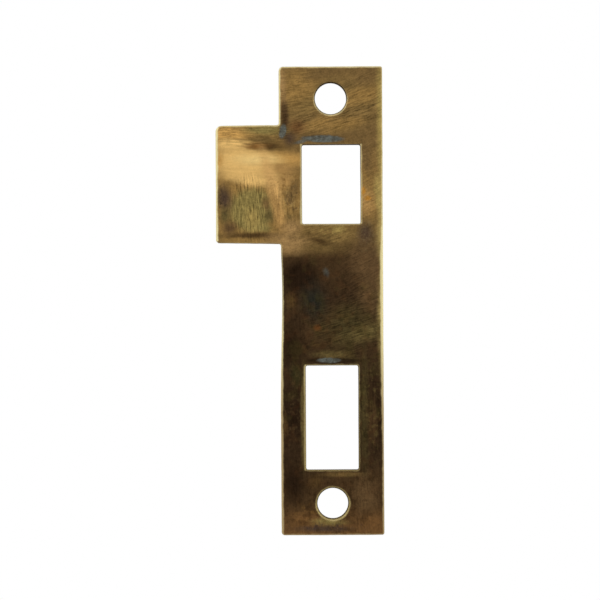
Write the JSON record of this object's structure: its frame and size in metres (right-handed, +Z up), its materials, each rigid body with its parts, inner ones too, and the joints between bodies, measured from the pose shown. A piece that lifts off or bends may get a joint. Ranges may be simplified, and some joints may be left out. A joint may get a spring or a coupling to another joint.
{
  "type": "door strike plate",
  "caption": "Aged brass strike plate for a mortise lock: a flat plate with a curved lip at one side, openings for the latch and the bolt, and countersunk screw holes.",
  "frame": {"origin": "middle of the back face, midway between the two screw holes", "axes": "as fixed on a door jamb: +Z up, +X right as seen from the front, the front face looks along -Y"},
  "size_m": [0.0357, 0.0039, 0.1],
  "materials": {
    "aged_brass": "aged, unlacquered, tarnished and scratched"
  },
  "bodies": {
    "root": {"strike_plate": "aged_brass"}
  },
  "joints": []
}
